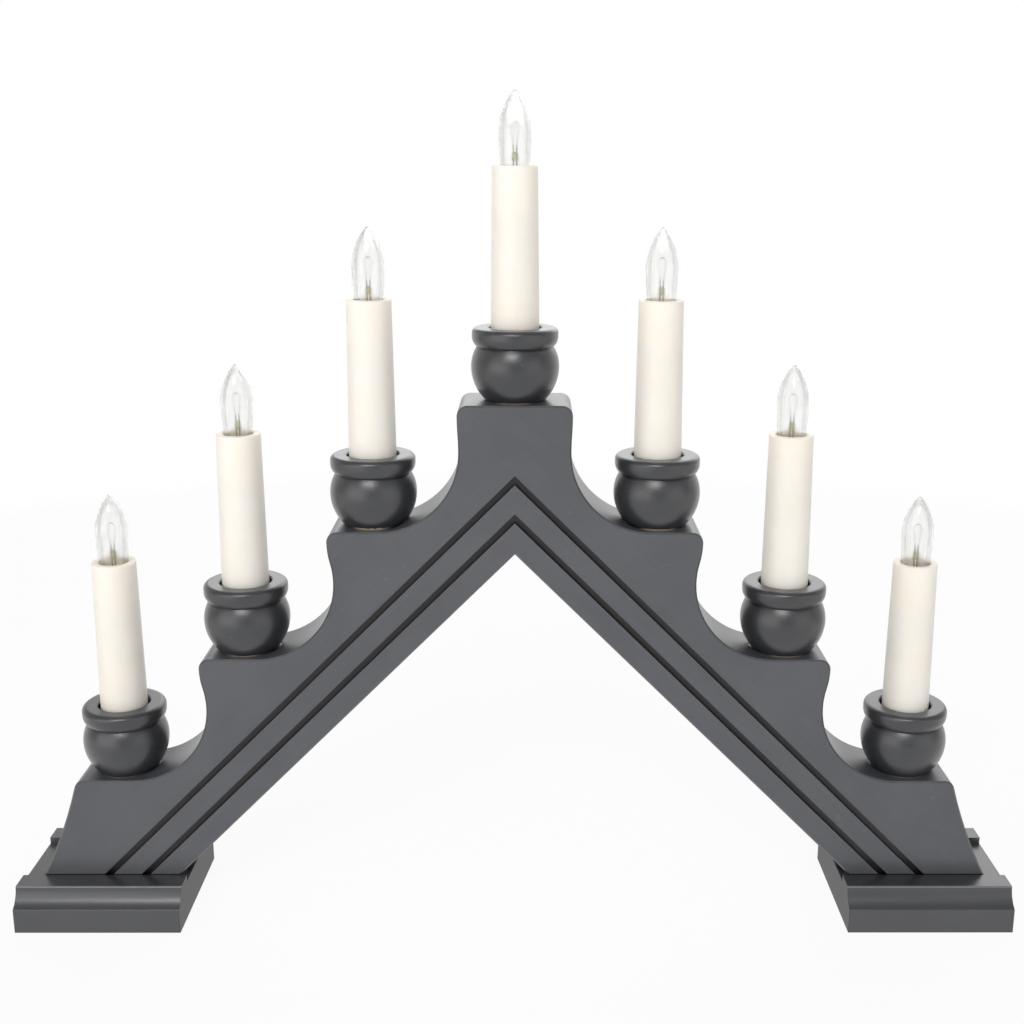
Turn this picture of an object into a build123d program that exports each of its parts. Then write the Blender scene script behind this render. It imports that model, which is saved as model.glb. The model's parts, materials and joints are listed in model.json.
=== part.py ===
from build123d import *
from math import cos, radians, tan
import os

# Candle arch: two stepped wooden arms mitred at the apex, standing in two moulded feet.
# Seven turned cups carry seven plastic candle sleeves with small screw-in lamps, wired in series.
# Millimetres, +Z up, front towards -Y, origin on the floor under the apex.

# Arch outline
board_thick = 32.0      # both arms, front to back
arm_pitch = 45.0        # degrees, fall of the lower edge
apex_depth = 63.0       # top step down to the inner corner
low_step = 64.1         # height of the lowest step
steps_per_side = 3
first_run = 60.0        # apex candle to the first side candle
first_drop = 53.5
step_run = 56.2         # one side candle to the next
apex_half = 23.7        # half the width of the top step
apex_waist = 0.5        # how far the sides of the top step draw in
nose = 18.5             # side candle to the outer corner of its step
waist = 2.3             # how far the side of a step draws in under its corner
sweep_radius = 34.0     # hollow from the side of one step to the top of the next
corner_radius = 4.5     # upper corner of each step
heel_spread = 18.6      # lowest outer corner to the heel of the arm
heel_hollow = 1.6       # how far the outer end curves in
edge_ease = 0.7         # small flat along the front and back edges

# Twin grooves on the front
groove_width = 2.8
groove_depth = 2.4
groove_inset = 11.0     # lower edge to the middle of the first groove
groove_gap = 11.5       # middle of one groove to the middle of the other

# Feet
foot_depth = 62.0
foot_height = 19.2
foot_lip = 11.0         # height of the upright face
cove_depth = 5.2
slot_depth = 2.9
slot_clearance = 0.3
foot_inner_reach = 5.5  # foot past the toe of the arm
foot_outer_reach = 7.6  # foot past the heel of the arm
arris_round = 0.5

# Cups
cup_height = 30.2
cup_radius = 18.3
cup_belly = 14.0        # height of the widest place
base_radius = 12.4
neck_radius = 15.9
neck_height = 22.3
rim_radius = 17.9
rim_roll = 2.2          # rounding of the rim's upper edge
rim_side = 1.5          # upright part of the rim
mouth_radius = 11.0
mouth_depth = 14.0
mouth_chamfer = 0.5
cup_floor = 6.0         # wood under the sleeve
spigot_radius = 9.0
spigot_length = 8.0
spigot_clearance = 0.1
seat_margin = 2.0       # flat cut for the cup, past its base
seat_cut = 6.0          # how high that cut clears the sweep

# Candle sleeves
sleeve_radius = 10.0
sleeve_tip_radius = 9.25
sleeve_show = 64.8      # from the cup's rim to the mouth of the sleeve
sleeve_mouth = 6.6      # bore above the web
sleeve_bore = 7.6       # bore below the web
sleeve_round = 0.6
sleeve_clearance = 0.1
web_thick = 2.0

# Screw-in lamps
bulb_show = 29.2        # from the sleeve's mouth to the tip
bulb_radius = 6.75
bulb_belly = 12.5       # height of the widest place above the sleeve's mouth
bulb_mouth_radius = 5.8
bulb_shoulder = 2.6     # start of the shoulder below the sleeve's mouth
bulb_neck = 4.2
bulb_tip = 0.5
glass_wall = 0.7
cap_radius = 4.75
cap_drop = 5.0          # top of the cap below the sleeve's mouth
cap_length = 10.4
cap_skirt = 8.2         # straight, threaded part
cap_socket = 3.0        # how deep the glass stands in the cap
cap_contact = 1.9
cement_gap = 0.1
seal_height = 1.5
bead_radius = 1.3
bead_height = 4.0
bead_round = 0.4
bead_lift = 0.5         # above the sleeve's mouth
lead_radius = 0.25
lead_gap = 1.6
lead_spread = 4.4       # between the lead tips
lead_height = 15.5      # lead tips above the sleeve's mouth
filament_radius = 0.2
filament_rise = 1.8

# Lampholders
thread_clearance = 0.25
shell_wall = 0.4
shell_height = 9.8
shell_seat = 3.4        # inner radius of the turned-in foot
tab_width = 2.0
tab_reach = 2.7         # how near the tab comes to the axis
tab_clearance = 0.15
rivet_head_radius = 2.6
rivet_head = 1.0
rivet_shank = 1.4
rivet_flange_radius = 2.2
rivet_flange = 0.8
rivet_clearance = 0.1
contact_gap = 0.3

# Wiring
bore_radius = 5.2       # down through cup and arm
channel_depth = 7.0     # along the underside of the arms
channel_width = 6.8
wire_radius = 0.8
wire_hang = 1.8         # wire centre under the channel's roof
wire_in = -3.4          # from the candle's axis, at the shell tab
wire_out = 1.2          # from the candle's axis, at the centre rivet
wire_lane = 2.2         # sideways place of the feed and the return
wire_jog = 30.0         # height over which feed and return move to their lanes
wire_tail = 14.0        # ends left in the inlet
bend_radius = 6.0
turn_radius = 2.0       # at the foot of a bore

# Fixings
dowel_radius = 3.0
dowel_length = 40.0
dowel_spacing = 18.0
dowel_clearance = 0.05
dowel_end_gap = 1.0
screw_radius = 2.0
screw_length = 32.0
screw_head_radius = 4.0
screw_sink = 1.0
screw_apart = 18.0
screw_heel_inset = 20.0
screw_clearance = 0.2
pilot_clearance = 0.05
countersink = 82.0      # degrees, whole angle of a screw head

fall = tan(radians(arm_pitch))
slant = 1 / cos(radians(arm_pitch))
step_drop = step_run * fall
floor = foot_height - slot_depth
apex_top = low_step + (steps_per_side - 1) * step_drop + first_drop
apex_inside = apex_top - apex_depth
toe_x = (apex_inside - floor) / fall
dowel_height = (apex_inside + channel_depth * slant + apex_top - spigot_length) / 2


def candle_x(step):
    return 0.0 if step == 0 else first_run + (step - 1) * step_run


def candle_z(step):
    return apex_top if step == 0 else apex_top - first_drop - (step - 1) * step_drop


def corner_x(step):
    return apex_half if step == 0 else candle_x(step) + nose


heel_x = corner_x(steps_per_side) + heel_spread
screw_x = heel_x - screw_heel_inset
foot_inner = toe_x - foot_inner_reach
foot_outer = heel_x + foot_outer_reach
slot_half = board_thick / 2 + slot_clearance
sleeve_top = cup_height + sleeve_show
web_top = sleeve_top - cap_drop - cap_length - contact_gap - rivet_head
web_under = web_top - web_thick
shell_bore = cap_radius + thread_clearance
shell_outer = shell_bore + shell_wall
sides = range(-steps_per_side, steps_per_side + 1)
candles = [(candle_x(abs(i)) * (1 if i > 0 else -1), candle_z(abs(i))) for i in sides]

os.makedirs("parts", exist_ok=True)


def save(piece, name):
    piece.part.label = name
    export_step(piece.part, f"parts/{name}.step")


def upright(x, z):
    """Sketch plane facing the front, with its origin on a candle's axis at height z."""
    return Plane(origin=(x, 0, z), x_dir=(1, 0, 0), z_dir=(0, -1, 0))


def axis_at(x):
    return Axis((x, 0, 0), (0, 0, 1))


def step_side(step):
    """Top, rounded corner, drawn-in side and hollow sweep down to the next step."""
    top = candle_z(step)
    outer = corner_x(step)
    inner = outer - (apex_waist if step == 0 else waist)
    landing = candle_z(step + 1)
    start = 0.0 if step == 0 else corner_x(step - 1) - (apex_waist if step == 1 else waist) + sweep_radius
    under_corner = top - corner_radius
    waist_z = landing + sweep_radius
    middle = ((outer + inner) / 2, (under_corner + waist_z) / 2)
    Line((start, top), (outer - corner_radius, top))
    TangentArc((outer - corner_radius, top), (outer, under_corner), tangent=(1, 0))
    TangentArc((outer, under_corner), middle, tangent=(0, -1))
    TangentArc((inner, waist_z), middle, tangent=(0, 1))
    TangentArc((inner, waist_z), (inner + sweep_radius, landing), tangent=(0, -1))


def outer_end():
    """Lowest step: its top and the end that spreads down to the heel, sharp at the corner."""
    top = candle_z(steps_per_side)
    outer = corner_x(steps_per_side)
    start = corner_x(steps_per_side - 1) - waist + sweep_radius
    middle = ((outer + heel_x) / 2 - heel_hollow, (top + floor) / 2)
    Line((start, top), (outer, top))
    ThreePointArc((outer, top), middle, (heel_x, floor))


def groove_band(distance):
    """Band of one groove, parallel to the lower edge, from the mitre to past the foot."""
    low = apex_inside + (distance - groove_width / 2) * slant
    high = apex_inside + (distance + groove_width / 2) * slant
    reach = high / fall
    Polygon((0, low), (reach, low - reach * fall), (reach, high - reach * fall), (0, high), align=None)


def channel_band():
    """Wire channel along the underside and, inside the foot, along the bottom of the arm."""
    roof = floor + channel_depth
    bend_x = (apex_inside + channel_depth * slant - roof) / fall
    end_x = max(candle_x(steps_per_side), bend_x) + bore_radius
    Polygon(
        (0, apex_inside), (toe_x, floor), (end_x, floor), (end_x, roof), (bend_x, roof),
        (0, apex_inside + channel_depth * slant), align=None,
    )


# Right arm: outline, eased edges, grooves, wire channel, bores and holes
with BuildPart() as arm_right:
    with BuildSketch(Plane.XZ):
        with BuildLine():
            for step in range(steps_per_side):
                step_side(step)
            outer_end()
            Polyline((heel_x, floor), (toe_x, floor), (0, apex_inside), (0, apex_top))
        outline = make_face()
        sharp = (corner_x(steps_per_side), candle_z(steps_per_side))
        low_corner = outline.vertices().sort_by_distance(sharp)[0]
        fillet(low_corner, radius=corner_radius)
    extrude(amount=board_thick / 2, both=True)
    rims = arm_right.faces().sort_by(Axis.Y)[0].edges() + arm_right.faces().sort_by(Axis.Y)[-1].edges()
    eased = [rim for rim in rims if rim.center().X > edge_ease and rim.center().Z > floor + edge_ease]
    chamfer(eased, length=edge_ease)
    with BuildSketch(Plane.XZ.offset(board_thick / 2)):
        groove_band(groove_inset)
        groove_band(groove_inset + groove_gap)
    extrude(amount=-groove_depth, mode=Mode.SUBTRACT)
    with BuildSketch(Plane.XZ):
        channel_band()
    extrude(amount=channel_width / 2, both=True, mode=Mode.SUBTRACT)
    for step in range(steps_per_side + 1):
        top = candle_z(step)
        bottom = max(floor, apex_inside - candle_x(step) * fall)
        with BuildSketch(Plane.XY.offset(top)):
            with Locations((candle_x(step), 0)):
                Circle(bore_radius)
        extrude(amount=bottom - top, mode=Mode.SUBTRACT)
        with BuildSketch(Plane.XY.offset(top)):
            with Locations((candle_x(step), 0)):
                Circle(spigot_radius + spigot_clearance)
        extrude(amount=-spigot_length - spigot_clearance, mode=Mode.SUBTRACT)
        with BuildSketch(Plane.XY.offset(top)):
            with Locations((candle_x(step), 0)):
                Circle(base_radius + seat_margin)
        extrude(amount=seat_cut, mode=Mode.SUBTRACT)
    with BuildSketch(Plane.YZ):
        with Locations((-dowel_spacing / 2, dowel_height), (dowel_spacing / 2, dowel_height)):
            Circle(dowel_radius + dowel_clearance)
    extrude(amount=dowel_length / 2 + dowel_end_gap, mode=Mode.SUBTRACT)
    with BuildSketch(Plane.XY.offset(floor)):
        with Locations((screw_x, -screw_apart / 2), (screw_x, screw_apart / 2)):
            Circle(screw_radius + pilot_clearance)
    extrude(amount=screw_sink + screw_length - floor, mode=Mode.SUBTRACT)
save(arm_right, "arm_right")

with BuildPart() as arm_left:
    add(arm_right.part)
    mirror(about=Plane.YZ, mode=Mode.REPLACE)
save(arm_left, "arm_left")

# Right foot: a moulding with an upright face, a cove and a slot for the arm
with BuildPart() as foot_right:
    with BuildSketch(Plane.YZ.offset(foot_inner)):
        half = foot_depth / 2
        shoulder = half - cove_depth
        with BuildLine():
            Polyline((0, 0), (half, 0), (half, foot_lip))
            TangentArc((shoulder, foot_height), (half, foot_lip), tangent=(0, -1))
            Polyline(
                (shoulder, foot_height), (slot_half, foot_height), (slot_half, floor),
                (0, floor), (0, 0),
            )
        profile = make_face()
        lip = profile.vertices().sort_by_distance((half, foot_lip))[0]
        arris = profile.vertices().sort_by_distance((shoulder, foot_height))[0]
        fillet([lip, arris], radius=arris_round)
        mirror(about=Plane.YZ)
    extrude(amount=foot_outer - foot_inner)
    with Locations(Plane((screw_x, 0, screw_sink), z_dir=(0, 0, -1))):
        with Locations((0, -screw_apart / 2), (0, screw_apart / 2)):
            CounterSinkHole(
                screw_radius + screw_clearance, screw_head_radius + screw_clearance,
                counter_sink_angle=countersink,
            )
save(foot_right, "foot_right")

with BuildPart() as foot_left:
    add(foot_right.part)
    mirror(about=Plane.YZ, mode=Mode.REPLACE)
save(foot_left, "foot_left")

# Two dowels across the mitre
with BuildPart() as mitre_dowels:
    with BuildSketch(Plane.YZ):
        with Locations((-dowel_spacing / 2, dowel_height), (dowel_spacing / 2, dowel_height)):
            Circle(dowel_radius)
    extrude(amount=dowel_length / 2, both=True)
save(mitre_dowels, "mitre_dowels")

# Countersunk screws, two up through each foot into its arm
with BuildPart() as foot_screws:
    for x in (-screw_x, screw_x):
        for y in (-screw_apart / 2, screw_apart / 2):
            with BuildSketch(Plane(origin=(x, y, screw_sink), x_dir=(1, 0, 0), z_dir=(0, -1, 0))):
                taper = (screw_head_radius - screw_radius) / tan(radians(countersink / 2))
                with BuildLine():
                    Polyline(
                        (0, 0), (screw_head_radius, 0), (screw_radius, taper),
                        (screw_radius, screw_length - 2 * screw_radius), (0, screw_length), close=True,
                    )
                make_face()
            revolve(axis=Axis((x, y, 0), (0, 0, 1)))
save(foot_screws, "foot_screws")


def make_cup(x, z):
    """Turned cup: spigot, round body, cut neck and rolled rim, bored for the sleeve and the wires."""
    belly = (cup_radius, cup_belly)
    neck = (neck_radius, neck_height)
    rim_high = (rim_radius, cup_height - rim_roll)
    rim_low = (rim_radius, cup_height - rim_roll - rim_side)
    with BuildPart() as cup:
        with BuildSketch(upright(x, z)):
            with BuildLine():
                Polyline(
                    (bore_radius, cup_floor), (bore_radius, -spigot_length), (spigot_radius, -spigot_length),
                    (spigot_radius, 0), (base_radius, 0),
                )
                TangentArc(belly, (base_radius, 0), tangent=(0, -1))
                TangentArc(belly, neck, tangent=(0, 1))
                TangentArc(rim_low, neck, tangent=(0, -1))
                Line(rim_low, rim_high)
                TangentArc(rim_high, (rim_radius - rim_roll, cup_height), tangent=(0, 1))
                Polyline(
                    (rim_radius - rim_roll, cup_height),
                    (mouth_radius + mouth_chamfer, cup_height),
                    (mouth_radius, cup_height - mouth_chamfer),
                    (mouth_radius, cup_height - mouth_depth),
                    (sleeve_radius + sleeve_clearance, cup_height - mouth_depth),
                    (sleeve_radius + sleeve_clearance, cup_floor),
                    (bore_radius, cup_floor),
                )
            make_face()
        revolve(axis=axis_at(x))
    return cup


def make_sleeve(x, z):
    """Candle sleeve: plain in the cup, tapered above it, with a web that carries the lampholder."""
    slot_x = shell_outer - shell_wall / 2
    with BuildPart() as sleeve:
        with BuildSketch(upright(x, z)):
            with BuildLine():
                Polyline(
                    (sleeve_bore, cup_floor), (sleeve_radius, cup_floor), (sleeve_radius, cup_height),
                    (sleeve_tip_radius, sleeve_top), (sleeve_mouth, sleeve_top), (sleeve_mouth, web_top),
                    (rivet_shank + rivet_clearance, web_top), (rivet_shank + rivet_clearance, web_under),
                    (sleeve_bore, web_under), close=True,
                )
            section = make_face()
            rim_corner = section.vertices().sort_by_distance((sleeve_tip_radius, sleeve_top))[0]
            fillet(rim_corner, radius=sleeve_round)
        revolve(axis=axis_at(x))
        with BuildSketch(Plane.XY.offset(z + web_under)):
            with Locations((x - slot_x, 0)):
                Rectangle(shell_wall + 2 * tab_clearance, tab_width + 2 * tab_clearance)
        extrude(amount=web_thick, mode=Mode.SUBTRACT)
    return sleeve


def make_holder(x, z):
    """Lampholder shell on the web, with a tab bent in under the web for the wire."""
    under_tab = web_under - shell_wall
    with BuildPart() as holder:
        with BuildSketch(upright(x, z + web_top)):
            with BuildLine():
                Polyline(
                    (shell_seat, 0), (shell_outer, 0), (shell_outer, shell_height),
                    (shell_bore, shell_height), (shell_bore, shell_wall), (shell_seat, shell_wall),
                    close=True,
                )
            make_face()
        revolve(axis=axis_at(x))
        with BuildSketch(upright(x, z)):
            with BuildLine():
                Polyline(
                    (-shell_outer, web_top + shell_wall), (-shell_outer, under_tab), (-tab_reach, under_tab),
                    (-tab_reach, web_under), (-shell_bore, web_under), (-shell_bore, web_top + shell_wall),
                    close=True,
                )
            make_face()
        extrude(amount=tab_width / 2, both=True)
    return holder


def glass_outline(inset):
    """Half outline of the bulb's envelope, drawn in by inset."""
    belly = (bulb_radius - inset, sleeve_top + bulb_belly)
    shoulder = (bulb_mouth_radius - inset, sleeve_top - bulb_shoulder)
    neck = (bulb_neck - inset, sleeve_top - cap_drop)
    foot = sleeve_top - cap_drop - cap_socket
    tip = sleeve_top + bulb_show - inset
    Polyline((0, foot), (bulb_neck - inset, foot), neck)
    TangentArc(neck, shoulder, tangent=(0.6, 1))
    TangentArc(belly, shoulder, tangent=(0, -1))
    TangentArc(belly, (bulb_tip, tip), tangent=(0, 1))
    Polyline((bulb_tip, tip), (0, tip), (0, foot))


def make_glass(x, z):
    """Pointed clear envelope, open at the neck."""
    with BuildPart() as glass:
        with BuildSketch(upright(x, z)):
            with BuildLine():
                glass_outline(0)
            make_face()
        revolve(axis=axis_at(x))
        with BuildSketch(upright(x, z)):
            with BuildLine():
                glass_outline(glass_wall)
            make_face()
        revolve(axis=axis_at(x), mode=Mode.SUBTRACT)
    return glass


def make_cap(x, z):
    """Screw cap with a socket for the neck of the glass and a centre contact."""
    top = sleeve_top - cap_drop
    contact = top - cap_length
    skirt = top - cap_skirt
    socket = bulb_neck + cement_gap
    with BuildPart() as cap:
        with BuildSketch(upright(x, z)):
            with BuildLine():
                Polyline(
                    (0, contact), (cap_contact, contact), (cap_radius, skirt), (cap_radius, top),
                    (socket, top), (socket, top - cap_socket), (0, top - cap_socket), close=True,
                )
            make_face()
        revolve(axis=axis_at(x))
    return cap


def make_filament(x, z):
    """Glass seal, two lead wires held by a bead, and the filament looped between their tips."""
    foot = z + sleeve_top - cap_drop - cap_socket
    bead = z + sleeve_top + bead_lift
    tips = z + sleeve_top + lead_height
    half_gap = lead_gap / 2
    half_spread = lead_spread / 2
    with BuildPart() as mount:
        with BuildSketch(Plane.XY.offset(foot)):
            with Locations((x, 0)):
                Circle(bulb_neck - glass_wall - cement_gap)
        extrude(amount=seal_height)
        with BuildSketch(upright(x, bead)):
            bead_half = Rectangle(bead_radius, bead_height, align=(Align.MIN, Align.MIN))
            fillet(bead_half.vertices().group_by(Axis.X)[-1], radius=bead_round)
        revolve(axis=axis_at(x))
        for side in (-1, 1):
            with BuildLine() as lead:
                Polyline(
                    (x + side * half_gap, 0, foot + seal_height / 2),
                    (x + side * half_gap, 0, bead + bead_height),
                    (x + side * half_spread, 0, tips),
                )
            with BuildSketch(Plane(lead.line @ 0, z_dir=lead.line % 0)):
                Circle(lead_radius)
            sweep(transition=Transition.ROUND)
        with BuildLine() as loop:
            ThreePointArc(
                (x - half_spread, 0, tips - lead_radius),
                (x, 0, tips + filament_rise),
                (x + half_spread, 0, tips - lead_radius),
            )
        with BuildSketch(Plane(loop.line @ 0, z_dir=loop.line % 0)):
            Circle(filament_radius)
        sweep()
    return mount


for number, (x, z) in enumerate(candles, 1):
    save(make_cup(x, z), f"cup_{number}")
    save(make_sleeve(x, z), f"sleeve_{number}")
    save(make_holder(x, z), f"holder_{number}")
    save(make_glass(x, z), f"bulb_glass_{number}")
    save(make_cap(x, z), f"bulb_cap_{number}")
    save(make_filament(x, z), f"filament_{number}")

# Centre contacts, riveted through the webs of the sleeves
with BuildPart() as contact_rivets:
    for x, z in candles:
        with BuildSketch(upright(x, z)):
            with BuildLine():
                Polyline(
                    (0, web_under - rivet_flange), (rivet_flange_radius, web_under - rivet_flange),
                    (rivet_flange_radius, web_under), (rivet_shank, web_under), (rivet_shank, web_top),
                    (rivet_head_radius, web_top), (rivet_head_radius, web_top + rivet_head),
                    (0, web_top + rivet_head), close=True,
                )
            make_face()
        revolve(axis=axis_at(x))
save(contact_rivets, "contact_rivets")

# Wiring: a feed, six links from lamp to lamp and a return, laid in the channel
lay = channel_depth - wire_hang
lay_floor = floor + lay
lay_apex = apex_inside + lay * slant
lay_toe = (lay_apex - lay_floor) / fall
rivet_z = web_under - rivet_flange
tab_z = web_under - shell_wall


def lay_z(x):
    """Height of a wire in the channel at x."""
    return max(lay_floor, lay_apex - abs(x) * fall)


def run_wire(points, radii):
    """Wire along straight runs joined by arcs."""
    with BuildPart() as wire:
        with BuildLine() as route:
            FilletPolyline(*points, radius=radii)
        with BuildSketch(Plane(route.line @ 0, z_dir=route.line % 0)):
            Circle(wire_radius)
        sweep()
    return wire


def laid(start_x, end_x, lane=0.0):
    """Points of a wire laid in the channel from start_x to end_x, with the channel's own bends between."""
    room = 2 * turn_radius
    low = min(start_x, end_x) + room
    high = max(start_x, end_x) - room
    bends = [bend for bend in (-lay_toe, 0.0, lay_toe) if low < bend < high]
    places = [start_x, *sorted(bends, reverse=start_x > end_x), end_x]
    return [(x, lane, lay_z(x)) for x in places]


def turn_at(corner, after, room):
    """Turn between a bore and the channel: tight beside a climb, a short stretch or the bore's wall."""
    climbs = after[2] > corner[2] + wire_radius
    short = abs(after[0] - corner[0]) < 2 * bend_radius
    near = room < bend_radius / 2
    return turn_radius if climbs or short or near else bend_radius


def bends_along(run):
    """Radius of each bend within a laid wire: tight beside a short stretch."""
    stretches = [abs(there[0] - here[0]) for here, there in zip(run, run[1:])]
    pairs = zip(stretches, stretches[1:])
    return [bend_radius if min(pair) > 2 * bend_radius else turn_radius for pair in pairs]


def link(here, there):
    """From the centre rivet of one lamp to the shell tab of the next."""
    run = laid(here[0] + wire_out, there[0] + wire_in)
    start = (run[0][0], 0, here[1] + rivet_z)
    end = (run[-1][0], 0, there[1] + tab_z)
    first = turn_at(run[0], run[1], bore_radius - wire_out)
    last = turn_at(run[-1], run[-2], bore_radius + wire_in)
    return run_wire([start, *run, end], [first, *bends_along(run), last])


for number in range(1, len(candles)):
    save(link(candles[number - 1], candles[number]), f"wire_{number}_{number + 1}")

first_x = candles[0][0] + wire_in
first_z = candles[0][1]
last_x = candles[-1][0] + wire_out
last_z = candles[-1][1]
inlet_x = max(-lay_toe, first_x) + wire_tail

feed_run = laid(inlet_x, first_x, -wire_lane)
feed_rise = [
    (first_x, -wire_lane, first_z + tab_z - 2 * wire_jog),
    (first_x, 0, first_z + tab_z - wire_jog),
    (first_x, 0, first_z + tab_z),
]
feed_turns = [*bends_along(feed_run), turn_at(feed_run[-1], feed_run[-2], bore_radius - wire_in)]
wire_feed = run_wire([*feed_run, *feed_rise], [*feed_turns, bend_radius, bend_radius])
save(wire_feed, "wire_feed")

return_drop = [
    (last_x, 0, last_z + rivet_z),
    (last_x, 0, last_z + rivet_z - wire_jog),
    (last_x, wire_lane, last_z + rivet_z - 2 * wire_jog),
]
return_run = laid(last_x, inlet_x, wire_lane)
return_turns = [turn_at(return_run[0], return_run[1], bore_radius + wire_out), *bends_along(return_run)]
wire_return = run_wire([*return_drop, *return_run], [bend_radius, bend_radius, *return_turns])
save(wire_return, "wire_return")
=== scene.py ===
import json
import math
import bpy
from mathutils import Matrix, Vector

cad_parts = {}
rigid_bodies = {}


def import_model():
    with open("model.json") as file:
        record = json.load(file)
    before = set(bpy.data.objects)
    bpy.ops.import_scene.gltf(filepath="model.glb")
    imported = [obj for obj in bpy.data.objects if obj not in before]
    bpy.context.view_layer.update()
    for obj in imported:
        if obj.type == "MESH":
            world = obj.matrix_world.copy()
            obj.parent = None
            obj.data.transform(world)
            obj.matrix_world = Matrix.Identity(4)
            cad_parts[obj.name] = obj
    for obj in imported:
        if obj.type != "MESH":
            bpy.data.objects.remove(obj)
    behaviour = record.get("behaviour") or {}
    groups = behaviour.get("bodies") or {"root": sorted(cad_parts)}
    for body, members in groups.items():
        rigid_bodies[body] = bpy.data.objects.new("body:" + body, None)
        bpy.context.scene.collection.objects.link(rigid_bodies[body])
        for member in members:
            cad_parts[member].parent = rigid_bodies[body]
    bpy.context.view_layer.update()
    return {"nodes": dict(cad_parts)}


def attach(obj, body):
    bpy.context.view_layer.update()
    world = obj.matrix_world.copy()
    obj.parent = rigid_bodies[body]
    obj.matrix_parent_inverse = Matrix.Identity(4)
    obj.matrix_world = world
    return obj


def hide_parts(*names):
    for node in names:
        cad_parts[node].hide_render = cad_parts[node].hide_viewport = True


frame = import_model()
nodes = frame["nodes"]

# Sizes in metres, as in the solids: candle places, step heights and the lamp's own heights.
MM = 0.001
CANDLE_X = [-172.4 * MM, -116.2 * MM, -60.0 * MM, 0.0, 60.0 * MM, 116.2 * MM, 172.4 * MM]
STEP_Z = [64.1 * MM, 120.3 * MM, 176.5 * MM, 230.0 * MM, 176.5 * MM, 120.3 * MM, 64.1 * MM]
MOUTH = 95.0 * MM           # sleeve's mouth above the step
CAP_TOP = MOUTH - 5.0 * MM
CAP_RADIUS = 4.75 * MM
CAP_SKIRT = 8.2 * MM
CAP_LENGTH = 10.4 * MM
CAP_CONTACT = 1.9 * MM
CAP_LIP = 1.2 * MM          # plain rim above the thread
CAP_THREAD = -0.32 * MM     # how far the rolled thread cuts in
LAMP_PITCH = 1.8 * MM
BEAD_LOW = MOUTH + 1.6 * MM
BEAD_HEIGHT = 3.6 * MM
BEAD_RADIUS = 1.2 * MM
LEAD_RADIUS = 0.22 * MM
LEAD_GAP = 1.2 * MM
LEAD_SPREAD = 3.0 * MM
LEAD_ROOT = CAP_TOP - 2.0 * MM
LEAD_TIP = MOUTH + 15.5 * MM
FILAMENT_RISE = 1.8 * MM
FILAMENT_TURNS = 14
FILAMENT_COIL = 0.16 * MM   # radius of the coil
FILAMENT_WIRE = 0.05 * MM   # radius of its wire

WEB_TOP = 78.3 * MM         # lampholder's seat above the step
WEB_THICK = 2.0 * MM
SHELL_OUTER = 5.4 * MM
SHELL_WALL = 0.4 * MM
SHELL_HEIGHT = 9.8 * MM
SHELL_SEAT = 3.4 * MM
SHELL_THREAD = 0.3 * MM     # how far the rolled thread stands out
TAB_WIDTH = 2.0 * MM
TAB_REACH = 2.7 * MM
SCREW_SINK = 1.0 * MM
SCREW_RADIUS = 2.0 * MM
SCREW_HEAD = 4.0 * MM
SCREW_LENGTH = 32.0 * MM
SCREW_NECK = 3.0 * MM       # plain shank under the head
SCREW_POINT = 4.0 * MM
SCREW_PITCH = 2.6 * MM
SCREW_THREAD = -0.55 * MM
SCREW_SLOPE = 41.0          # degrees, half angle of the head
RECESS = 3.0 * MM
SCREW_PLACES = [(x * MM, y * MM) for x in (-189.5, 189.5) for y in (-9.0, 9.0)]

# Twin grooves on the front, in millimetres from the arms' lower edge
APEX_INSIDE = 167.0
GROOVES = (11.0, 22.5)
GROOVE_HALF = 1.5
FRONT_FACE = -16.0
GROOVE_DEPTH = 2.4
NECK_HEIGHT = 22.3          # cup's neck above its step
FOOT_ENDS = (145.2, 217.1)  # from the middle of the arch
FOOT_HEIGHT = 19.2
FOOT_ARRIS = 25.8           # upper edge of the cove, from the middle of the foot


def srgb(red, green, blue):
    """A colour as a painter reads it, 0 to 255, in the renderer's own scale."""
    scaled = [part / 255 for part in (red, green, blue)]
    linear = [s / 12.92 if s < 0.04045 else ((s + 0.055) / 1.055) ** 2.4 for s in scaled]
    return (*linear, 1.0)


class Flow:
    """A value on its way through a finish; sums on it add Math nodes."""

    def __init__(self, finish, socket):
        self.finish = finish
        self.socket = socket

    def sum(self, operation, first, second=0.0):
        return self.finish.add("Math", {"operation": operation}, {0: first, 1: second})

    def __add__(self, other):
        return self.sum("ADD", self, other)

    def __radd__(self, other):
        return self.sum("ADD", other, self)

    def __sub__(self, other):
        return self.sum("SUBTRACT", self, other)

    def __rsub__(self, other):
        return self.sum("SUBTRACT", other, self)

    def __mul__(self, other):
        return self.sum("MULTIPLY", self, other)

    def __rmul__(self, other):
        return self.sum("MULTIPLY", other, self)

    def __abs__(self):
        return self.sum("ABSOLUTE", self)

    def step(self, low, high):
        """0 below low, 1 above high, smooth between."""
        settings = {"interpolation_type": "SMOOTHSTEP"}
        return self.finish.add("MapRange", settings, {0: self, 1: low, 2: high})

    def band(self, low, high, soft):
        """1 between low and high, fading over soft at both ends."""
        return self.step(low - soft, low) * (1 - self.step(high, high + soft))


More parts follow.
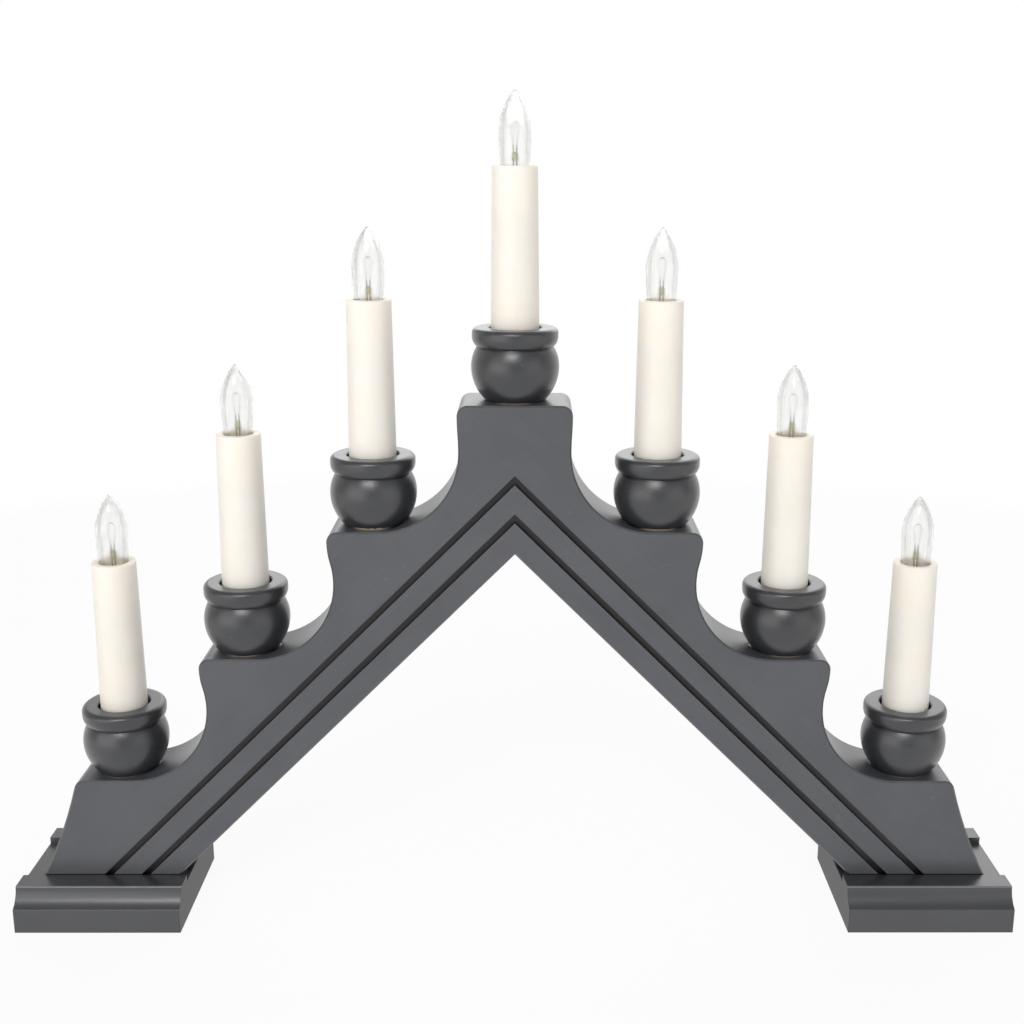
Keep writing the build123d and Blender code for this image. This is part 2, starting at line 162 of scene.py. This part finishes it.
class Finish:
    """One material, with the nodes that feed its surface."""

    def __init__(self, name):
        self.material = bpy.data.materials.new(name)
        self.material.use_nodes = True
        self.tree = self.material.node_tree
        self.tree.nodes.clear()

    def add(self, kind, settings=None, sockets=None, out=0):
        node = self.tree.nodes.new("ShaderNode" + kind)
        for name, value in (settings or {}).items():
            setattr(node, name, value)
        for name, value in (sockets or {}).items():
            if isinstance(value, Flow):
                self.tree.links.new(value.socket, node.inputs[name])
            else:
                node.inputs[name].default_value = value
        return Flow(self, node.outputs[out])

    def place(self, turn=(0.0, 0.0, 0.0), stretch=(1.0, 1.0, 1.0)):
        """Object coordinates in millimetres, seen along a turned and stretched grain."""
        raw = self.add("TexCoord", out=3)
        scale = tuple(MM / part for part in stretch)
        turned = {"Vector": raw, "Rotation": turn, "Scale": scale}
        return self.add("Mapping", {"vector_type": "TEXTURE"}, turned)

    def parts(self, vector):
        """The three parts of a vector."""
        split = self.add("SeparateXYZ", sockets={0: vector})
        outputs = split.socket.node.outputs
        return Flow(self, outputs[0]), Flow(self, outputs[1]), Flow(self, outputs[2])

    def noise(self, vector, scale, detail=3.0, roughness=0.55):
        inputs = {"Vector": vector, "Scale": scale, "Detail": detail, "Roughness": roughness}
        return self.add("TexNoise", {"noise_dimensions": "3D"}, inputs)

    def blend(self, amount, first, second):
        """A colour between two others."""
        inputs = {0: amount, 6: first, 7: second}
        return self.add("Mix", {"data_type": "RGBA", "clamp_factor": True}, inputs, out=2)

    def bump(self, height, strength, depth):
        return self.add("Bump", {}, {"Strength": strength, "Distance": depth, "Height": height})

    def surface(self, sockets):
        shader = self.add("BsdfPrincipled", {}, sockets)
        self.add_output(shader)
        return self.material

    def add_output(self, shader):
        output = self.tree.nodes.new("ShaderNodeOutputMaterial")
        self.tree.links.new(shader.socket, output.inputs["Surface"])


ARM_GREY = (srgb(72, 73, 78), srgb(82, 83, 88))
# The same paint as the arms, set darker on the feet: painted shade for the feet's dim tops
FOOT_SHADED_GREY = (srgb(46, 47, 50), srgb(54, 55, 58))
CUP_GREY = (srgb(39, 40, 43), srgb(47, 48, 51))
# Rubbed paint specks, and the painted highlight along the top edge of the feet's cove
RUBBED_AND_HIGHLIGHT_GREY = srgb(112, 113, 116)
# Painted shade in the grooves and the cups' necks, and the painted shadow line where the arms meet
# the feet
PAINTED_SHADE_GREY = srgb(18, 18, 20)
BARE_WOOD = srgb(214, 196, 164)


def painted_wood(
        name, greys, grain_turn, grain_stretch, gloss, seat=None, grooved=False, ends=None):
    """Dark grey satin paint over planed wood, the grain faintly raised along the piece.

    A cup also has its seat: where its axis stands, how high, and how much bare wood shows there,
    with painted shade in its neck.
    A grooved arm has painted shade in its grooves and a painted shadow line where it meets the
    foot.
    A foot has its two ends, where the end grain drinks the paint and stays dull, and a painted
    highlight along the top edge of its cove."""
    paint = Finish(name)
    place = paint.place()
    along = paint.place(grain_turn, grain_stretch)
    cloud = paint.noise(place, 0.035, 4.0)
    pores = paint.noise(along, 1.0, 5.0, 0.6)
    stipple = paint.noise(place, 1.6, 2.0)
    specks = paint.noise(place, 0.42, 1.0)
    rubbed = specks.step(0.76, 0.80)
    tone = paint.blend(cloud.step(0.3, 0.7) * 0.6 + pores.step(0.3, 0.75) * 0.4, *greys)
    colour = paint.blend(rubbed * 0.3, tone, RUBBED_AND_HIGHLIGHT_GREY)
    height = pores * 0.7 + stipple * 0.3
    across, deep, up = paint.parts(place)
    # Painted shade in the two grooves, and a painted shadow line across the arm at the top of the
    # foot
    if grooved:
        rise = (up - APEX_INSIDE + abs(across)) * math.cos(math.radians(45.0))
        reach = GROOVE_HALF + 0.1
        first, second = (1 - abs(rise - middle).step(GROOVE_HALF, reach) for middle in GROOVES)
        sunk = deep.band(FRONT_FACE + 0.5, FRONT_FACE + GROOVE_DEPTH + 0.1, 0.4)
        seam_shadow = 1 - abs(up - FOOT_HEIGHT).step(0.2, 0.6)
        painted_shade = (first + second) * sunk + seam_shadow
        colour = paint.blend(painted_shade, colour, PAINTED_SHADE_GREY)
        gloss = gloss * (1 - 0.8 * painted_shade)
    if seat:
        spot_x, spot_z, shows = seat
        dents = paint.noise(place, 0.22, 2.0)
        ragged = paint.noise(place, 0.5, 3.0)
        edge = (0.25 + 1.1 * ragged) * shows
        front = (0.0 - deep).step(2.0, 8.0) * (1 - abs(across - spot_x).step(4.0, 9.0))
        bare = (1 - (up - spot_z - edge).step(-0.15, 0.15)) * front
        # Painted shade in the cup's neck, under the rim
        neck = 1 - abs(up - spot_z - NECK_HEIGHT).step(0.25, 0.9)
        colour = paint.blend(neck, colour, PAINTED_SHADE_GREY)
        colour = paint.blend(bare, colour, BARE_WOOD)
        height = height - dents.step(0.68, 0.78) * 2.2
    roughness = 0.30 + 0.08 * pores + 0.05 * cloud
    if ends:
        inner, outer = ends
        dull = 1 - abs(across).band(inner + 0.3, outer - 0.3, 0.2)
        # Painted highlight along the top edge of the cove
        highlight_band = abs(deep).band(FOOT_ARRIS - 0.5, FOOT_ARRIS + 0.4, 0.2)
        arris_highlight = highlight_band * up.step(FOOT_HEIGHT - 0.8, FOOT_HEIGHT - 0.4)
        colour = paint.blend(arris_highlight * 0.8, colour, RUBBED_AND_HIGHLIGHT_GREY)
        roughness = roughness + 0.25 * dull
        gloss = gloss * (1 - 0.7 * dull)
    return paint.surface({
        "Base Color": colour,
        "Roughness": roughness,
        "Normal": paint.bump(height, 0.25, 0.00012),
        "Coat Weight": gloss,
        "Coat Roughness": 0.34,
    })


def ivory_plastic():
    """Moulded candle sleeve: warm white, faintly see-through, with flow lines up its length."""
    plastic = Finish("ivory_plastic")
    place = plastic.place()
    flow = plastic.noise(plastic.place(stretch=(1.0, 1.0, 0.05)), 0.5, 3.0)
    cloud = plastic.noise(place, 0.05, 3.0)
    grain = plastic.noise(place, 2.2, 2.0)
    mix = cloud.step(0.3, 0.7) * 0.6 + flow * 0.4
    colour = plastic.blend(mix, srgb(251, 237, 224), srgb(254, 242, 232))
    return plastic.surface({
        "Base Color": colour,
        "Roughness": 0.36 + 0.1 * flow,
        "Normal": plastic.bump(grain * 0.5 + flow * 0.5, 0.12, 0.0001),
        "Subsurface Weight": 0.55,
        "Subsurface Radius": (1.0, 0.8, 0.55),
        "Subsurface Scale": 0.004,
    })


def clear_glass():
    """Blown lamp glass, thin and colourless, with the faint ripple of blown work."""
    glass = Finish("clear_glass")
    place = glass.place(stretch=(1.0, 1.0, 0.45))
    ripple = glass.noise(place, 0.35, 2.0)
    tint = glass.blend(ripple.step(0.35, 0.65), srgb(243, 243, 241), srgb(248, 248, 246))
    return glass.surface({
        "Base Color": tint,
        "Alpha": 0.55,
        "Roughness": 0.0,
        "IOR": 1.45,
        "Transmission Weight": 1.0,
        "Normal": glass.bump(ripple, 0.10, 0.0004),
    })


def bead_glass():
    """The pressed bead that holds the lead wires apart, greenish and slightly seedy."""
    bead = Finish("bead_glass")
    seeds = bead.noise(bead.place(), 1.4, 3.0)
    tint = bead.blend(seeds.step(0.35, 0.7), srgb(196, 198, 160), srgb(222, 222, 192))
    return bead.surface({
        "Base Color": tint,
        "Roughness": 0.12 + 0.1 * seeds,
        "Transmission Weight": 0.6,
        "IOR": 1.5,
        "Normal": bead.bump(seeds, 0.2, 0.0002),
    })


def metal(name, bright, dull, roughness, grain):
    """A plain metal with faint drawing marks and a little tarnish."""
    shell = Finish(name)
    place = shell.place()
    cloud = shell.noise(place, 0.6, 4.0)
    marks = shell.noise(shell.place(stretch=(1.0, 1.0, 6.0)), grain, 3.0)
    colour = shell.blend(cloud.step(0.35, 0.7), bright, dull)
    return shell.surface({
        "Base Color": colour,
        "Metallic": 1.0,
        "Roughness": roughness + 0.18 * cloud + 0.08 * marks,
        "Normal": shell.bump(marks, 0.15, 0.00005),
    })


def wire_cover():
    """Soft insulation of the wires inside the arch."""
    cover = Finish("wire_insulation")
    cloud = cover.noise(cover.place(), 0.2, 3.0)
    fine = cover.noise(cover.place(), 3.0, 2.0)
    colour = cover.blend(cloud.step(0.3, 0.7), srgb(228, 224, 212), srgb(240, 236, 226))
    return cover.surface({
        "Base Color": colour,
        "Roughness": 0.42 + 0.12 * fine,
        "Normal": cover.bump(fine, 0.15, 0.00005),
    })


def bare_wood():
    """Unpainted beech, with grain along the dowel."""
    wood = Finish("bare_wood")
    along = wood.place(stretch=(0.05, 1.0, 1.0))
    years = wood.noise(along, 0.9, 4.0, 0.6)
    pores = wood.noise(along, 4.0, 2.0)
    colour = wood.blend(years.step(0.3, 0.7), srgb(202, 176, 136), srgb(222, 201, 166))
    return wood.surface({
        "Base Color": colour,
        "Roughness": 0.6 + 0.15 * pores,
        "Normal": wood.bump(years * 0.5 + pores * 0.5, 0.3, 0.0001),
    })


def clear_selection():
    """Leaves editing, with nothing selected."""
    if bpy.context.object and bpy.context.object.mode != "OBJECT":
        bpy.ops.object.mode_set(mode="OBJECT")
    bpy.ops.object.select_all(action="DESELECT")


def dress(piece, material):
    """Gives a piece its one material."""
    piece.data.materials.clear()
    piece.data.materials.append(material)


def finish_piece(name, material, smooth=40.0):
    """Names the active piece, seats it at the origin and smooths it."""
    piece = bpy.context.object
    clear_selection()
    piece.select_set(True)
    bpy.context.view_layer.objects.active = piece
    bpy.ops.object.transform_apply(location=True, rotation=True, scale=True)
    bpy.ops.object.mode_set(mode="EDIT")
    bpy.ops.mesh.select_all(action="SELECT")
    bpy.ops.mesh.remove_doubles(threshold=0.000002)
    bpy.ops.mesh.normals_make_consistent(inside=False)
    bpy.ops.object.mode_set(mode="OBJECT")
    bpy.ops.object.shade_smooth_by_angle(angle=math.radians(smooth))
    piece.name = name
    piece.data.name = name
    dress(piece, material)
    return piece


def pick_faces(test):
    """Selects the faces of the piece being edited whose normal passes the test."""
    bpy.ops.mesh.select_mode(type="FACE")
    bpy.ops.mesh.select_all(action="DESELECT")
    bpy.ops.object.mode_set(mode="OBJECT")
    for face in bpy.context.object.data.polygons:
        face.select = test(face.normal)
    bpy.ops.object.mode_set(mode="EDIT")


def grow(move, spread=1.0):
    """Extrudes what is selected and scales the new end."""
    bpy.ops.mesh.extrude_region_move(TRANSFORM_OT_translate={"value": move})
    if spread != 1.0:
        bpy.ops.transform.resize(value=(spread, spread, 1.0))


def turned_piece(profile, sides, fill="NGON"):
    """A piece off the lathe: a disc or hoop grown ring by ring along (height, radius) pairs."""
    clear_selection()
    height, radius = profile[0]
    bpy.ops.mesh.primitive_circle_add(
        vertices=sides, radius=radius, fill_type=fill, location=(0.0, 0.0, height))
    bpy.ops.object.transform_apply(location=True, rotation=True, scale=True)
    bpy.ops.object.mode_set(mode="EDIT")
    bpy.ops.mesh.select_all(action="SELECT")
    for next_height, next_radius in profile[1:]:
        grow((0.0, 0.0, next_height - height), next_radius / radius)
        height, radius = next_height, next_radius


def join_last(names_before):
    """Joins every mesh made since those names were noted into one piece."""
    clear_selection()
    made = [o for o in bpy.data.objects if o.type == "MESH" and o.name not in names_before]
    for piece in made:
        piece.select_set(True)
    bpy.context.view_layer.objects.active = made[0]
    bpy.ops.object.join()


def names_now():
    """The names of all that is in the scene so far."""
    return {o.name for o in bpy.data.objects}


def lead_wire(side):
    """One lead: up through the bead, out to its tip and hooked over the filament."""
    clear_selection()
    half = side * LEAD_GAP / 2
    bpy.ops.mesh.primitive_circle_add(
        vertices=10, radius=LEAD_RADIUS, fill_type="NGON", location=(half, 0.0, LEAD_ROOT))
    bpy.ops.object.mode_set(mode="EDIT")
    bpy.ops.mesh.select_all(action="SELECT")
    out = side * (LEAD_SPREAD - LEAD_GAP) / 2
    top = LEAD_TIP - BEAD_LOW - BEAD_HEIGHT
    grow((0.0, 0.0, BEAD_LOW - LEAD_ROOT))
    grow((0.0, 0.0, BEAD_HEIGHT))
    grow((out * 0.08, 0.0, top * 0.22), 0.8)
    grow((out * 0.12, 0.0, top * 0.10), 0.42)
    grow((out * 0.55, 0.0, top * 0.44))
    grow((out * 0.25, 0.0, top * 0.22))
    grow((-side * 0.06 * MM, 0.0, top * 0.02), 0.7)


def lamp_bead():
    """Pressed bead: a short barrel, nipped where the wires leave it."""
    turned_piece([
        (BEAD_LOW, BEAD_RADIUS * 0.45),
        (BEAD_LOW + 0.15 * MM, BEAD_RADIUS * 0.78),
        (BEAD_LOW + 0.6 * MM, BEAD_RADIUS),
        (BEAD_LOW + BEAD_HEIGHT * 0.5, BEAD_RADIUS * 0.9),
        (BEAD_LOW + BEAD_HEIGHT - 0.6 * MM, BEAD_RADIUS),
        (BEAD_LOW + BEAD_HEIGHT - 0.15 * MM, BEAD_RADIUS * 0.78),
        (BEAD_LOW + BEAD_HEIGHT, BEAD_RADIUS * 0.45),
    ], 20)
    bpy.ops.mesh.select_all(action="SELECT")
    bpy.ops.transform.resize(value=(1.0, 0.72, 1.0), center_override=(0.0, 0.0, BEAD_LOW))


def coiled_filament():
    """The filament: a fine coil arched between the lead tips."""
    clear_selection()
    span = LEAD_SPREAD
    bpy.ops.mesh.primitive_circle_add(
        vertices=6, radius=FILAMENT_WIRE, location=(FILAMENT_COIL, 0.0, 0.0),
        rotation=(math.pi / 2, 0.0, 0.0))
    piece = bpy.context.object
    bpy.ops.object.transform_apply(location=True, rotation=True, scale=True)
    screw = piece.modifiers.new("coil", "SCREW")
    screw.axis = "Z"
    screw.angle = math.tau
    screw.iterations = FILAMENT_TURNS
    screw.screw_offset = span / FILAMENT_TURNS
    screw.steps = 10
    screw.render_steps = 10
    bpy.ops.object.modifier_apply(modifier=screw.name)
    bpy.ops.object.mode_set(mode="EDIT")
    bpy.ops.mesh.select_all(action="SELECT")
    bpy.ops.mesh.fill_holes(sides=0)
    bpy.ops.object.mode_set(mode="OBJECT")
    for point in piece.data.vertices:
        along = point.co.z / span
        rise = FILAMENT_RISE * 4 * along * (1 - along)
        height = point.co.x + rise + LEAD_TIP - 0.25 * MM
        point.co = Vector((point.co.z - span / 2, point.co.y, height))


def roll_thread(low, high, reach, pitch, depth):
    """Rolls a thread into the active piece's walls beyond reach, between two heights."""
    for point in bpy.context.object.data.vertices:
        out = math.hypot(point.co.x, point.co.y)
        along = (point.co.z - low) / (high - low)
        if out < reach or not 0.0 < along < 1.0:
            continue
        fade = min(1.0, 8.0 * along, 8.0 * (1.0 - along))
        turn = math.atan2(point.co.y, point.co.x)
        wave = 0.5 - 0.5 * math.cos(math.tau * (point.co.z - low) / pitch - turn)
        scale = 1.0 + fade * depth * wave / out
        point.co.x *= scale
        point.co.y *= scale


def rings(low, high, radius, rows):
    """Evenly spaced rings of a straight wall, from low to high."""
    return [(low + (high - low) * row / rows, radius) for row in range(rows + 1)]


def screw_cap():
    """Threaded lamp cap: rolled lip, rolled thread, insulator cone and soldered contact."""
    low = CAP_TOP - CAP_SKIRT
    contact = CAP_TOP - CAP_LENGTH
    turned_piece([
        (contact, CAP_CONTACT * 0.6),
        (contact + 0.35 * MM, CAP_CONTACT * 0.95),
        (contact + 0.7 * MM, CAP_CONTACT),
        (contact + 0.75 * MM, CAP_CONTACT * 1.25),
        (low - 0.5 * MM, CAP_RADIUS * 0.72),
        *rings(low, CAP_TOP - CAP_LIP, CAP_RADIUS, 30),
        (CAP_TOP - 0.9 * MM, CAP_RADIUS * 0.96),
        (CAP_TOP - 0.3 * MM, CAP_RADIUS * 0.96),
        (CAP_TOP, CAP_RADIUS * 0.92),
    ], 40)
    bpy.ops.object.mode_set(mode="OBJECT")
    roll_thread(low, CAP_TOP - CAP_LIP, CAP_RADIUS * 0.98, LAMP_PITCH, CAP_THREAD)


def block(low, high):
    """A small bent-metal bar between two corners, its edges broken."""
    clear_selection()
    middle = [(a + b) / 2 for a, b in zip(low, high)]
    size = [b - a for a, b in zip(low, high)]
    bpy.ops.mesh.primitive_cube_add(size=1.0, location=middle, scale=size)
    bpy.ops.object.transform_apply(location=True, rotation=True, scale=True)
    bpy.ops.object.mode_set(mode="EDIT")
    bpy.ops.mesh.select_all(action="SELECT")
    bpy.ops.mesh.bevel(offset=min(size) * 0.2, segments=2, affect="EDGES")
    bpy.ops.object.mode_set(mode="OBJECT")


def lamp_shell():
    """Lampholder shell: turned-in foot, rolled thread and the tab bent in under the web."""
    top = WEB_TOP + SHELL_HEIGHT
    seat = WEB_TOP + SHELL_WALL
    wall = rings(WEB_TOP, top, SHELL_OUTER, 36)
    lining = rings(top, seat, SHELL_OUTER - SHELL_WALL, 36)
    foot = (WEB_TOP, SHELL_SEAT)
    turned_piece([foot, *wall, *lining, (seat, SHELL_SEAT), foot], 40, "NOTHING")
    bpy.ops.object.mode_set(mode="OBJECT")
    roll_thread(seat, top, SHELL_SEAT * 1.2, LAMP_PITCH, SHELL_THREAD)
    under = WEB_TOP - WEB_THICK
    half = TAB_WIDTH / 2
    bore = SHELL_OUTER - SHELL_WALL
    block((-SHELL_OUTER, -half, under - SHELL_WALL), (-bore, half, seat))
    block((-SHELL_OUTER, -half, under - SHELL_WALL), (-TAB_REACH, half, under))


def foot_screw():
    """Countersunk wood screw, head down, with a cross recess and a coarse thread."""
    sink, radius, head, length = SCREW_SINK, SCREW_RADIUS, SCREW_HEAD, SCREW_LENGTH
    taper = (head - radius) / math.tan(math.radians(SCREW_SLOPE))
    thread_low = sink + taper + SCREW_NECK
    turned_piece([
        (sink, head * 0.98),
        (sink + 0.15 * MM, head),
        (sink + taper, radius),
        *rings(thread_low, sink + length - SCREW_POINT, radius, 60),
        (sink + length - 1.5 * MM, radius * 0.5),
        (sink + length, radius * 0.06),
    ], 32)
    screw = bpy.context.object
    bpy.ops.object.mode_set(mode="OBJECT")
    thread_high = sink + length - SCREW_POINT + 0.5 * MM
    roll_thread(thread_low, thread_high, radius * 0.9, SCREW_PITCH, SCREW_THREAD)
    for across, deep in ((head * 1.1, head * 0.26), (head * 0.26, head * 1.1)):
        clear_selection()
        bpy.ops.mesh.primitive_cube_add(
            size=1.0, location=(0.0, 0.0, sink), scale=(across, deep, RECESS))
        cutter = bpy.context.object
        bpy.ops.object.transform_apply(location=True, rotation=True, scale=True)
        bpy.ops.object.mode_set(mode="EDIT")
        pick_faces(lambda normal: normal.z > 0.9)
        bpy.ops.transform.resize(value=(0.45, 0.45, 1.0))
        bpy.ops.object.mode_set(mode="OBJECT")
        cut = screw.modifiers.new("recess", "BOOLEAN")
        cut.operation = "DIFFERENCE"
        cut.solver = "EXACT"
        cut.object = cutter
        clear_selection()
        screw.select_set(True)
        bpy.context.view_layer.objects.active = screw
        bpy.ops.object.modifier_apply(modifier=cut.name)
        bpy.data.objects.remove(cutter)


def copy_to(source, name, spot, body, slot, *stands_for):
    """Sets a copy of a piece, with its own mesh, at a candle's or a screw's place."""
    piece = source.copy()
    piece.data = source.data.copy()
    piece.name = name
    piece.data.name = name
    bpy.context.scene.collection.objects.link(piece)
    piece.data.transform(Matrix.Translation(spot))
    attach(piece, body)
    if stands_for:
        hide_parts(*stands_for)


# Finishes on the solids
along_left = (0.0, math.radians(-45.0), 0.0)
along_right = (0.0, math.radians(45.0), 0.0)
upright_grain = (0.0, 0.0, 0.0)
arm_grain = (0.03, 0.9, 0.9)
foot_grain = (0.04, 0.9, 0.9)
cup_grain = (0.12, 0.12, 1.6)
arm_paint_left = painted_wood(
    "arm_paint_left", ARM_GREY, along_left, arm_grain, 0.4, grooved=True)
arm_paint_right = painted_wood(
    "arm_paint_right", ARM_GREY, along_right, arm_grain, 0.4, grooved=True)
foot_paint = painted_wood("foot_paint", FOOT_SHADED_GREY, upright_grain, foot_grain, 0.9, ends=FOOT_ENDS)
bare_shows = [0.3, 0.6, 1.3, 0.4, 0.9, 0.5, 0.3]
cup_paints = {
    f"cup_{at + 1}": painted_wood(
        f"cup_paint_{at + 1}", CUP_GREY, upright_grain, cup_grain, 0.7,
        (CANDLE_X[at] / MM, STEP_Z[at] / MM, bare_shows[at]))
    for at in range(7)
}
sleeve_plastic = ivory_plastic()
lamp_glass = clear_glass()
bead_tint = bead_glass()
cap_metal = metal("cap_metal", srgb(205, 204, 198), srgb(172, 170, 164), 0.22, 0.8)
shell_brass = metal("shell_brass", srgb(206, 178, 110), srgb(172, 142, 84), 0.28, 0.8)
screw_steel = metal("screw_steel", srgb(186, 187, 186), srgb(140, 141, 142), 0.26, 1.2)
lead_metal = metal("lead_wire", srgb(128, 124, 118), srgb(92, 88, 82), 0.3, 1.5)
insulation = wire_cover()
dowel_wood = bare_wood()

finishes = {
    **cup_paints,
    "arm_left": arm_paint_left,
    "arm_right": arm_paint_right,
    "foot_left": foot_paint,
    "foot_right": foot_paint,
    "foot_screws": screw_steel,
    "sleeve_": sleeve_plastic,
    "bulb_glass_": lamp_glass,
    "bulb_cap_": cap_metal,
    "filament_": lead_metal,
    "holder_": shell_brass,
    "contact_rivets": shell_brass,
    "wire_": insulation,
    "mitre_dowels": dowel_wood,
}
for name, node in nodes.items():
    for start, finish in finishes.items():
        if name.startswith(start):
            dress(node, finish)

# The lamp's own fine pieces, made once and set in each lamp
before = names_now()
lead_wire(-1)
lead_wire(1)
coiled_filament()
join_last(before)
leads = finish_piece("lamp_leads", lead_metal)
lamp_bead()
bead = finish_piece("lamp_bead", bead_tint)
screw_cap()
cap = finish_piece("lamp_cap", cap_metal)
before = names_now()
lamp_shell()
join_last(before)
shell = finish_piece("lamp_shell", shell_brass)
foot_screw()
screw = finish_piece("foot_screw", screw_steel)

for number in range(1, 8):
    spot = Vector((CANDLE_X[number - 1], 0.0, STEP_Z[number - 1]))
    body = f"bulb_{number}"
    copy_to(leads, f"lamp_leads_{number}", spot, body, "lead_wire", f"filament_{number}")
    copy_to(bead, f"lamp_bead_{number}", spot, body, "clear_glass")
    copy_to(cap, f"lamp_cap_{number}", spot, body, "cap_metal", f"bulb_cap_{number}")
    copy_to(shell, f"lamp_shell_{number}", spot, "arch", "shell_brass", f"holder_{number}")
for number, (x, y) in enumerate(SCREW_PLACES, 1):
    spot = Vector((x, y, 0.0))
    copy_to(screw, f"foot_screw_{number}", spot, "arch", "screw_steel", "foot_screws")
for source in (leads, bead, cap, shell, screw):
    bpy.data.objects.remove(source)


# Camera, fitted to the picture: place in metres, turns in degrees, lens and centre in pixels
CAMERA_SPOT = (5.68 * MM, -534.93 * MM, 326.43 * MM)
CAMERA_TURNS = (-0.343, 13.381, 0.177)
PICTURE = 1024.0
FOCAL_LENGTH = 1300.0
CENTRE_X, CENTRE_Y = 536.24, 470.97
SENSOR = 36.0


def camera_by_photo():
    """The camera where the arch is seen from: close, above its middle and looking a little down."""
    yaw, pitch, roll = (math.radians(turn) for turn in CAMERA_TURNS)
    forward = Vector((
        -math.sin(yaw) * math.cos(pitch), math.cos(yaw) * math.cos(pitch), -math.sin(pitch)))
    right = Vector((math.cos(yaw), math.sin(yaw), 0.0))
    up = right.cross(forward)
    right_rolled = right * math.cos(roll) + up * math.sin(roll)
    up_rolled = up * math.cos(roll) - right * math.sin(roll)
    lens = bpy.data.cameras.new("camera")
    lens.sensor_width = SENSOR
    lens.lens = SENSOR * FOCAL_LENGTH / PICTURE
    lens.shift_x = (PICTURE / 2 - CENTRE_X) / PICTURE
    lens.shift_y = (CENTRE_Y - PICTURE / 2) / PICTURE
    lens.clip_start = 0.01
    camera = bpy.data.objects.new("camera", lens)
    turned = Matrix((right_rolled, up_rolled, -forward)).transposed().to_4x4()
    camera.matrix_world = Matrix.Translation(CAMERA_SPOT) @ turned
    bpy.context.scene.collection.objects.link(camera)
    bpy.context.scene.camera = camera


def soft_box(name, spot, target, size, power):
    """A soft studio light, facing its target."""
    lamp = bpy.data.lights.new(name, "AREA")
    lamp.shape = "RECTANGLE"
    lamp.size, lamp.size_y = size
    lamp.energy = power
    box = bpy.data.objects.new(name, lamp)
    facing = Vector(target) - Vector(spot)
    box.rotation_euler = facing.to_track_quat("-Z", "Y").to_euler()
    box.location = spot
    bpy.context.scene.collection.objects.link(box)


SEEN_RAYS = ("Is Camera Ray", "Is Glossy Ray", "Is Transmission Ray")
ROOM_LIGHT = 0.34           # of the white that is seen
ROOM_MIRRORED = 0.45
FLOOR_WHITE = 0.92          # share of the floor that stays white under the arch's shadow
FLOOR_FADE = (0.35, 0.9)    # metres from the arch, where the floor turns into the room


class Room(Finish):
    """The room around the arch, made up like a finish."""

    def __init__(self, name):
        self.world = bpy.data.worlds.new(name)
        self.world.use_nodes = True
        self.tree = self.world.node_tree
        self.tree.nodes.clear()

    def add_output(self, shader):
        output = self.tree.nodes.new("ShaderNodeOutputWorld")
        self.tree.links.new(shader.socket, output.inputs["Surface"])


def white_surroundings():
    """A white room: plain white wherever it is seen, and softer where it only gives light.

    Polished faces mirror the bright backdrop low behind the arch and a dimmer room elsewhere."""
    room = Room("white_room")
    path = room.add("LightPath").socket.node.outputs
    camera, glossy, through = (Flow(room, path[ray]) for ray in SEEN_RAYS)
    seen = camera.sum("MAXIMUM", camera, through)
    _, back, up = room.parts(room.add("TexCoord"))
    backdrop = back.step(0.0, 0.5) * (1 - up.step(0.12, 0.5))
    mirrored = ROOM_MIRRORED + (1 - ROOM_MIRRORED) * backdrop
    lit = ROOM_LIGHT + glossy * (mirrored - ROOM_LIGHT)
    level = lit + seen * (1 - lit)
    shell = room.add("Background", {}, {"Color": (1.0, 1.0, 1.0, 1.0), "Strength": level})
    room.add_output(shell)
    bpy.context.scene.world = room.world


def pale_floor():
    """A plain white floor that keeps the arch's shadow and fades into the room."""
    clear_selection()
    bpy.ops.mesh.primitive_plane_add(size=6.0, location=(0.0, 0.0, 0.0))
    floor = bpy.context.object
    floor.name = "floor"
    paper = Finish("pale_floor")
    spot = paper.place(stretch=(MM, MM, MM))
    across, back, _ = paper.parts(spot)
    square = across * across + back * back
    reach = square.sum("SQRT", square)
    cloud = paper.noise(spot, 3.0, 2.0)
    tone = paper.blend(cloud, srgb(246, 246, 246), srgb(250, 250, 250))
    matt = paper.add("BsdfPrincipled", {}, {"Base Color": tone, "Roughness": 0.9})
    white = paper.add("Emission", {}, {"Color": (1.0, 1.0, 1.0, 1.0), "Strength": 1.0})
    path = paper.add("LightPath").socket.node.outputs
    camera, glossy, through = (Flow(paper, path[ray]) for ray in SEEN_RAYS)
    seen = camera + glossy + through
    clean = seen.sum("MAXIMUM", seen * FLOOR_WHITE, reach.step(*FLOOR_FADE))
    upper = paper.add("MixShader", {}, {0: clean, 1: matt, 2: white})
    under = Flow(paper, paper.add("NewGeometry").socket.node.outputs["Backfacing"])
    clear = paper.add("BsdfTransparent")
    paper.add_output(paper.add("MixShader", {}, {0: under, 1: upper, 2: clear}))
    dress(floor, paper.material)


bpy.context.scene.view_settings.view_transform = "Standard"
camera_by_photo()
white_surroundings()
pale_floor()
arch_middle = (0.0, 0.0, 0.15)
soft_box("key", (-1.5, -1.6, 0.7), arch_middle, (2.0, 1.6), 8.5)
soft_box("fill", (1.6, -1.5, 0.5), arch_middle, (2.0, 1.4), 7.0)
soft_box("behind", (0.3, 1.5, 1.1), arch_middle, (2.2, 1.2), 13.0)
soft_box("top_front", (-0.3, -1.7, 1.6), arch_middle, (1.0, 0.45), 19.0)
soft_box("low_front", (-0.75, -0.8, 0.15), (0.0, 0.0, 0.1), (1.2, 0.7), 2.0)
